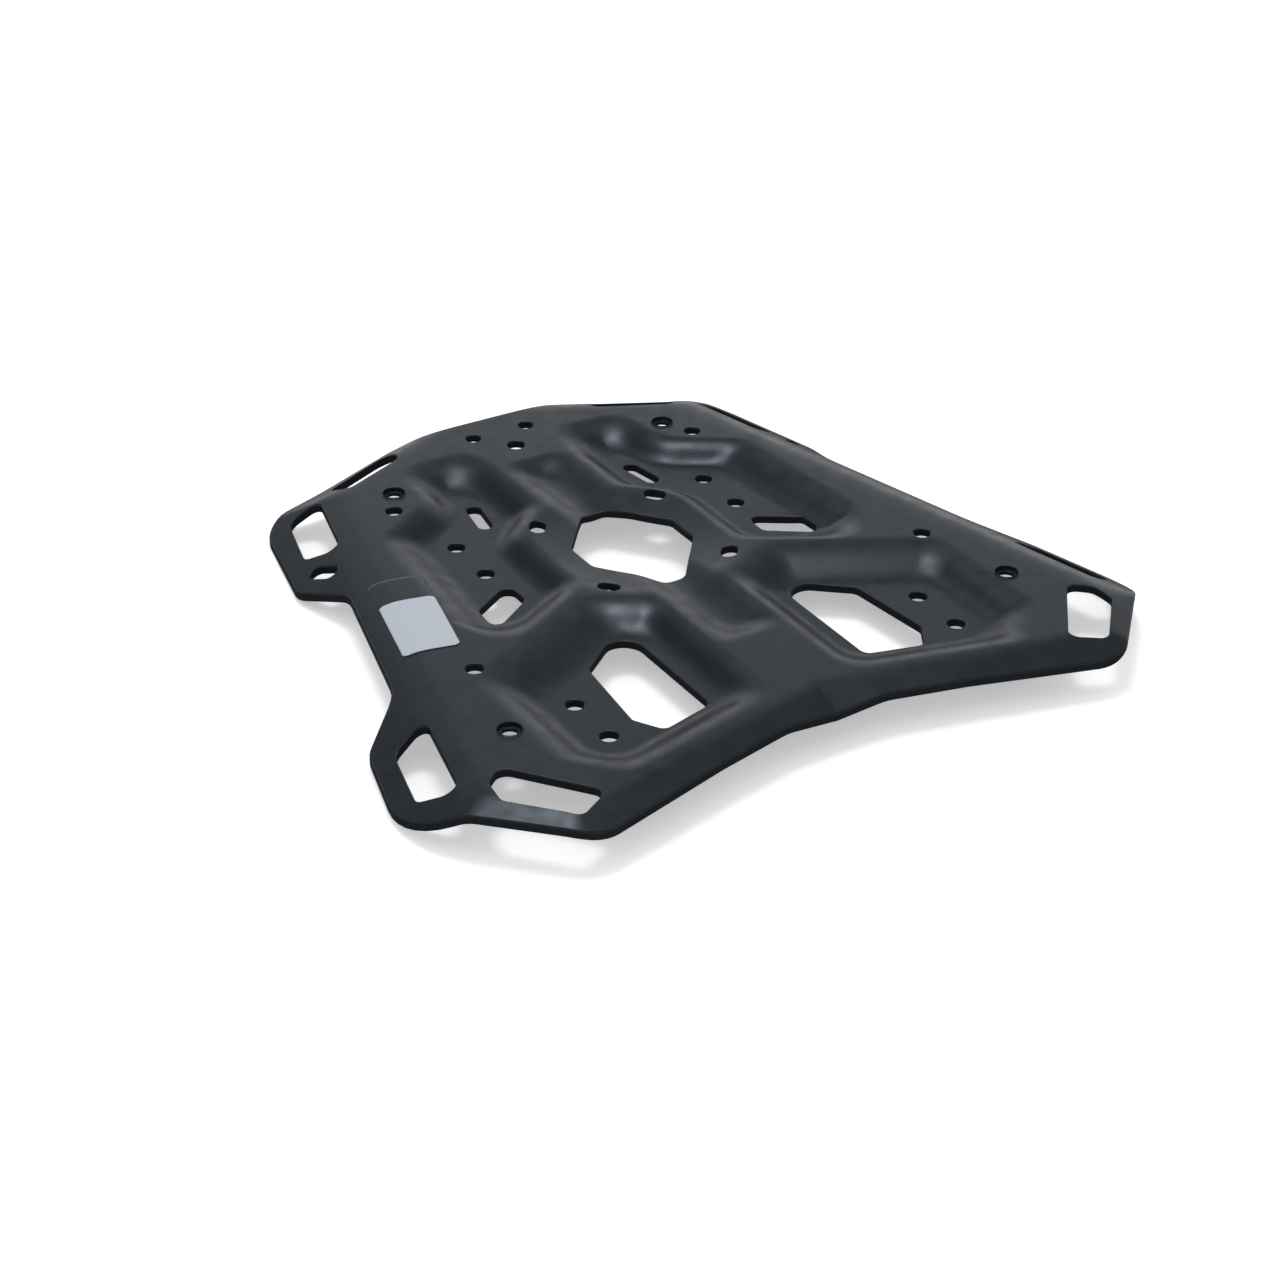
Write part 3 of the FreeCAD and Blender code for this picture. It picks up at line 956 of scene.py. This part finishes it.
    def build(self) -> bpy.types.Object:
        """Build the plate's closed mesh.

        The upper and lower faces share one triangulated plan, lifted to the two heights, and each
        edge is a strip of rows carried round its loop between them.

        Returns:
            The plate.
        """
        plain = [self.outline()] + self.holes()
        loops = plain + self.seats()
        plan, triangles = self.spread(loops)
        count = len(plan)
        positions, normals, faces = [], [], []
        for lower in (False, True):
            offset, sign = (self.sheet.thickness, -1.0) if lower else (0.0, 1.0)
            positions.append(lifted(plan, self.sheet.height(plan[:, 0], plan[:, 1], offset)))
            normals.append(self.sheet.normal(plan[:, 0], plan[:, 1], offset) * sign)
        corners = plan[triangles]
        first, second = corners[:, 1] - corners[:, 0], corners[:, 2] - corners[:, 0]
        backward = first[:, 0] * second[:, 1] - first[:, 1] * second[:, 0] < 0.0
        upper = np.where(backward[:, None], triangles[:, ::-1], triangles)
        faces.append(upper)
        faces.append(upper[:, ::-1] + count)
        used, start = 2 * count, 0
        strips = []
        for index, loop in enumerate(loops):
            make_rows = self.edge_rows if index < len(plain) else self.seat_rows
            rows, row_normals = make_rows(loop)
            size = len(loop.points)
            own = np.arange(size)
            numbers = [own + start] + [own + used + size * row for row in range(len(rows))]
            numbers.append(own + start + count)
            used += size * len(rows)
            start += size
            positions += rows
            normals += row_normals
            for above, below in zip(numbers, numbers[1:]):
                quads = np.stack([above, below, np.roll(below, -1), np.roll(above, -1)], axis=1)
                strips.append(quads if index == 0 else quads[:, ::-1])
        faces.append(np.concatenate(strips))
        return make_mesh("rack_plate_pressed", np.concatenate(positions), faces,
                         np.concatenate(normals))

    def dress(self, plate: bpy.types.Object) -> None:
        """Give the plate its coat and put it on the frame in place of the plain solid.

        Args:
            plate: The plate's object.
        """
        plate.data.materials.append(PowderCoat().build())
        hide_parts("rack_plate")
        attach(plate, BODY)


@dataclass
class FilmPanel:
    """Blank film panel that follows the left flank.

    Attributes:
        sheet: Height of the pressed sheet under it.
        centre: Middle of the film in plan.
        length: Length of the film.
        width: Width of the film.
        angle: Angle of its length from +X in degrees.
        lift: Thickness of the film.
        face_from: Distance from the film's rear end to the silver face.
        face_length: Length of the silver face.
        margin: Width of the clear border beside the silver face.
        corner: Radius of the corners in plan.
        gap: Space under the film.
        grid: Number of points along and across.
    """

    sheet: PressedSheet
    centre: Point = (-119.4, -10.0)
    length: float = 66.0
    width: float = 26.0
    angle: float = 77.5
    lift: float = 0.3
    face_from: float = 0.6
    face_length: float = 44.9
    margin: float = 0.2
    corner: float = 2.0
    gap: float = 0.02
    grid: tuple[int, int] = (46, 30)

    def patch(self, name: str, low: Point, high: Point, lift: float) -> bpy.types.Object:
        """Build a closed thin patch: a grid of two parameters laid on the sheet, and its sides.

        Near an end, the grid is narrower on each side by the corner's radius less the root of its
        square less the square of the distance into the corner, which is a circle's arc.

        Args:
            name: Name of the piece.
            low: Lowest distances along and across, from the film's middle.
            high: Highest distances along and across.
            lift: Height of the patch over the sheet.

        Returns:
            The patch.
        """
        turn = math.radians(self.angle)
        along = np.array([math.cos(turn), math.sin(turn)])
        across = np.array([-along[1], along[0]])
        rows, columns = self.grid
        grid_u, grid_v = np.meshgrid(np.linspace(low[0], high[0], rows),
                                     np.linspace(low[1], high[1], columns), indexing="ij")
        half_u, half_v = (high[0] - low[0]) / 2.0, (high[1] - low[1]) / 2.0
        radius = self.corner
        near_u = np.clip(half_u - np.abs(grid_u - (low[0] + high[0]) / 2.0), 0.0, radius)
        tuck = radius - np.sqrt(radius ** 2 - (radius - near_u) ** 2)
        middle = (low[1] + high[1]) / 2.0
        grid_v = middle + (grid_v - middle) * (half_v - tuck) / half_v
        plan = np.array(self.centre) + grid_u[..., None] * along + grid_v[..., None] * across
        plan = plan.reshape(-1, 2)
        normal = self.sheet.normal(plan[:, 0], plan[:, 1])
        base = lifted(plan, self.sheet.height(plan[:, 0], plan[:, 1]))
        total = rows * columns
        number = np.arange(total).reshape(rows, columns)
        upper = grid_quads(rows, columns)
        rim = np.concatenate([number[:-1, 0], number[-1, :-1], number[:0:-1, -1], number[0, :0:-1]])
        sides = np.stack([rim, rim + total, np.roll(rim, -1) + total, np.roll(rim, -1)], axis=1)
        vertices = np.concatenate([base + normal * lift, base + normal * self.gap])
        return make_mesh(name, vertices, [upper, upper[:, ::-1] + total, sides])

    def build(self) -> list[bpy.types.Object]:
        """Build the clear film and the silver face on it.

        Returns:
            The clear film, then the silver face.
        """
        half_length, half_width = self.length / 2.0, self.width / 2.0
        film = self.patch("film_clear", (-half_length, -half_width), (half_length, half_width),
                          self.lift / 2.0)
        low = (-half_length + self.face_from, -half_width + self.margin)
        high = (low[0] + self.face_length, half_width - self.margin)
        face = self.patch("film_silver", low, high, self.lift)
        return [film, face]

    def dress(self, pieces: list[bpy.types.Object]) -> None:
        """Give the film its two finishes and put it on the frame.

        Args:
            pieces: The clear film, then the silver face.
        """
        for piece, finish in zip(pieces, (CLEAR_BORDER, SILVER_FACE)):
            piece.data.materials.append(finish.build())
            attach(piece, BODY)
        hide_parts("film_panel")


@dataclass
class Studio:
    """White floor and backdrop, dark cards, one soft overhead lamp, and the camera.

    The cards show only in reflections, so that the black coat keeps dark walls and bright crests.
    The base card is painted shadow: a dark sheet just over the floor under the plate, seen only
    in reflections, which stands in for the plate's shadow and darkens the cut walls of the
    openings.

    Attributes:
        floor_z: Height of the floor in metres.
        azimuth: Direction the camera looks, degrees from +Y towards +X.
        elevation: Degrees the camera looks down.
        roll: Degrees the camera is turned about its own axis.
        offset: Where the origin lies in the camera's frame: right, down and forward, millimetres.
        lens: Focal length for a sensor 36 mm wide.
        card_radius: Distance of the upright cards.
        card_foot: Height where the upright cards begin.
        card_height: Height of the cards and of the ceiling card.
        card_gap: Half of the angle left open towards the backdrop.
        ceiling_edge: Distance from the middle to the ceiling's edge on the backdrop's side.
        shadow_card_reach: Half the width of the painted shadow card under the plate.
        shadow_card_shift: Place of that card's middle along +Y.
        shadow_card_lift: Height of that card over the floor.
        lamp_turn: Direction of the lamp from the camera's, in degrees.
        lamp_elevation: Degrees of the lamp over the horizon.
        lamp_distance: Distance of the lamp.
        lamp_size: Width and height of the lamp.
        lamp_power: Power of the lamp in watts.
        floor_reach: Half the width of the floor.
        floor_glow: Strength of the floor's own glow where it is seen.
        ambient: Strength of the surroundings as a light.
    """

    floor_z: float
    azimuth: float = 31.315
    elevation: float = 30.765
    roll: float = -0.206
    offset: tuple[float, float, float] = (-3.42, -48.28, 1247.5)
    lens: float = 75.43
    card_radius: float = 3.0
    card_foot: float = 0.45
    card_height: float = 2.0
    card_gap: float = 36.0
    ceiling_edge: float = 3.8
    shadow_card_reach: float = 0.27
    shadow_card_shift: float = -0.02
    shadow_card_lift: float = 0.001
    lamp_turn: float = -21.0
    lamp_elevation: float = 76.0
    lamp_distance: float = 1.9
    lamp_size: Point = (0.6, 0.6)
    lamp_power: float = 12.5
    floor_reach: float = 6.0
    floor_glow: float = 0.42
    ambient: float = 0.62

    def camera(self) -> None:
        """Place the camera where the photograph was taken from."""
        az, el, roll = (math.radians(v) for v in (self.azimuth, self.elevation, self.roll))
        right = np.array([math.cos(az), -math.sin(az), 0.0])
        forward = np.array([math.sin(az) * math.cos(el), math.cos(az) * math.cos(el),
                            -math.sin(el)])
        down = np.cross(forward, right)
        right, down = (math.cos(roll) * right + math.sin(roll) * down,
                       -math.sin(roll) * right + math.cos(roll) * down)
        axes = np.stack([right, down, forward])
        place = -axes.T @ np.array(self.offset) * MM
        turn = np.stack([right, -down, -forward], axis=1)
        data = bpy.data.cameras.new("camera")
        data.sensor_width = 36.0
        data.lens = self.lens
        data.clip_start, data.clip_end = 0.05, 50.0
        obj = bpy.data.objects.new("camera", data)
        bpy.context.collection.objects.link(obj)
        matrix = Matrix(turn.tolist()).to_4x4()
        matrix.translation = Vector(place.tolist())
        obj.matrix_world = matrix
        bpy.context.scene.camera = obj

    def lamp(self) -> None:
        """Add one soft rectangular lamp, high up, that faces the plate."""
        az, el = math.radians(self.azimuth + self.lamp_turn), math.radians(self.lamp_elevation)
        place = Vector((math.sin(az) * math.cos(el), math.cos(az) * math.cos(el), math.sin(el)))
        place *= self.lamp_distance
        data = bpy.data.lights.new("overhead", "AREA")
        data.shape = "RECTANGLE"
        data.size, data.size_y = self.lamp_size
        data.energy = self.lamp_power
        obj = bpy.data.objects.new("overhead", data)
        bpy.context.collection.objects.link(obj)
        obj.location = place
        obj.rotation_mode = "QUATERNION"
        obj.rotation_quaternion = (-place).to_track_quat("-Z", "Y")

    def cards(self) -> None:
        """Add the dark cards: an upright arc round the plate, a ceiling and a base of painted
        shadow.

        The arc is a grid of an angle and a height: radius times the sine and cosine of the angle,
        over every direction but the open one. The ceiling is a grid of the distances along and
        across the camera's direction, and the painted shadow base is one of x and y just over the
        floor.
        """
        middle = math.radians(self.azimuth + 180.0)
        half = math.radians(180.0 - self.card_gap)
        angle, height = np.meshgrid(middle + np.linspace(-half, half, 49),
                                    np.linspace(self.card_foot, self.card_height, 2), indexing="ij")
        arc = np.stack([self.card_radius * np.sin(angle), self.card_radius * np.cos(angle), height],
                       axis=-1)
        along, across = np.meshgrid(np.linspace(-self.card_radius, self.ceiling_edge, 2),
                                    np.linspace(-self.card_radius, self.card_radius, 2),
                                    indexing="ij")
        az = math.radians(self.azimuth)
        ceiling = np.stack([along * math.sin(az) + across * math.cos(az),
                            along * math.cos(az) - across * math.sin(az),
                            np.full_like(along, self.card_height)], axis=-1)
        # The base card is painted shadow: a dark sheet under the plate, seen only in reflections,
        # in place of the floor that the plate shades.
        spread = np.linspace(-self.shadow_card_reach, self.shadow_card_reach, 2)
        shadow_card_x, shadow_card_y = np.meshgrid(spread, spread, indexing="ij")
        base = np.stack([shadow_card_x, shadow_card_y + self.shadow_card_shift,
                         np.full_like(shadow_card_x, self.floor_z + self.shadow_card_lift)], axis=-1)
        cards = [("card_round", arc, "#5d6268"), ("card_ceiling", ceiling, "#7b838a"),
                 ("card_painted_floor_shadow", base, "#4a4b4d")]
        for name, grid, shade in cards:
            material, tree = new_material(name)
            glow = add_node(tree, "ShaderNodeEmission", inputs={
                "Color": linear(shade), "Strength": 1.0})
            add_node(tree, "ShaderNodeOutputMaterial", links={"Surface": glow.outputs["Emission"]})
            obj = make_mesh(name, grid.reshape(-1, 3) / MM, [grid_quads(*grid.shape[:2])])
            obj.data.materials.append(material)
            obj.visible_camera = False
            obj.visible_diffuse = False
            obj.visible_shadow = False
            obj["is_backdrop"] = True

    def show_white(self, tree: bpy.types.NodeTree) -> bpy.types.NodeSocket:
        """Tell apart the rays that see a surface from those that only light the object.

        Args:
            tree: Node tree to add to.

        Returns:
            One for rays from the camera, in reflections and through glass, and otherwise zero.
        """
        rays = add_node(tree, "ShaderNodeLightPath").outputs
        share = rays["Is Camera Ray"]
        for seen in ("Is Glossy Ray", "Is Transmission Ray"):
            larger = add_node(tree, "ShaderNodeMath", settings={"operation": "MAXIMUM"})
            tree.links.new(share, larger.inputs[0])
            tree.links.new(rays[seen], larger.inputs[1])
            share = larger.outputs["Value"]
        return share

    def floor(self) -> None:
        """Add a wide level floor of white paper, which glows a little where it is seen."""
        signs = np.array([[-1.0, -1.0], [1.0, -1.0], [1.0, 1.0], [-1.0, 1.0]])
        corners = signs * self.floor_reach / MM
        obj = make_mesh("floor", lifted(corners, self.floor_z / MM), [np.array([[0, 1, 2, 3]])])
        material, tree = new_material("floor_paper")
        paper = add_node(tree, "ShaderNodeBsdfDiffuse", inputs={"Color": linear("#f4f4f4")})
        glow = add_node(tree, "ShaderNodeEmission", inputs={
            "Color": WHITE, "Strength": self.floor_glow})
        both = add_node(tree, "ShaderNodeAddShader")
        tree.links.new(paper.outputs["BSDF"], both.inputs[0])
        tree.links.new(glow.outputs["Emission"], both.inputs[1])
        mix = add_node(tree, "ShaderNodeMixShader", links={"Fac": self.show_white(tree)})
        tree.links.new(paper.outputs["BSDF"], mix.inputs[1])
        tree.links.new(both.outputs["Shader"], mix.inputs[2])
        add_node(tree, "ShaderNodeOutputMaterial", links={"Surface": mix.outputs["Shader"]})
        obj.data.materials.append(material)
        obj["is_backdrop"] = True

    def world(self) -> None:
        """Set even surroundings that are white where they are seen and softer as a light."""
        world = bpy.data.worlds.new("surroundings")
        bpy.context.scene.world = world
        world.use_nodes = True
        tree = world.node_tree
        tree.nodes.clear()
        strength = add_node(tree, "ShaderNodeMapRange", inputs={
            "To Min": self.ambient, "To Max": 1.0}, links={"Value": self.show_white(tree)})
        shade = add_node(tree, "ShaderNodeBackground", inputs={"Color": WHITE},
                         links={"Strength": strength.outputs["Result"]})
        add_node(tree, "ShaderNodeOutputWorld", links={"Surface": shade.outputs["Background"]})

    def build(self) -> None:
        """Build the whole studio."""
        self.floor()
        self.world()
        self.cards()
        self.lamp()
        self.camera()


def main() -> None:
    """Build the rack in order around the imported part."""
    logging.basicConfig(level=logging.INFO, format="%(message)s")
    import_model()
    cad_low, cad_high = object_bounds()
    for scene in bpy.data.scenes:
        scene.view_settings.view_transform = "Standard"
    sheet = PressedSheet()
    rack = RackPlate(sheet)
    plate = rack.build()
    rack.dress(plate)
    panel = FilmPanel(sheet)
    films = panel.build()
    panel.dress(films)
    for piece in [plate] + films:
        LOG.info("%s: %d vertices, %d faces", piece.name, len(piece.data.vertices),
                 len(piece.data.polygons))
    Studio(cad_low[2]).build()


if __name__ == "__main__":
    main()
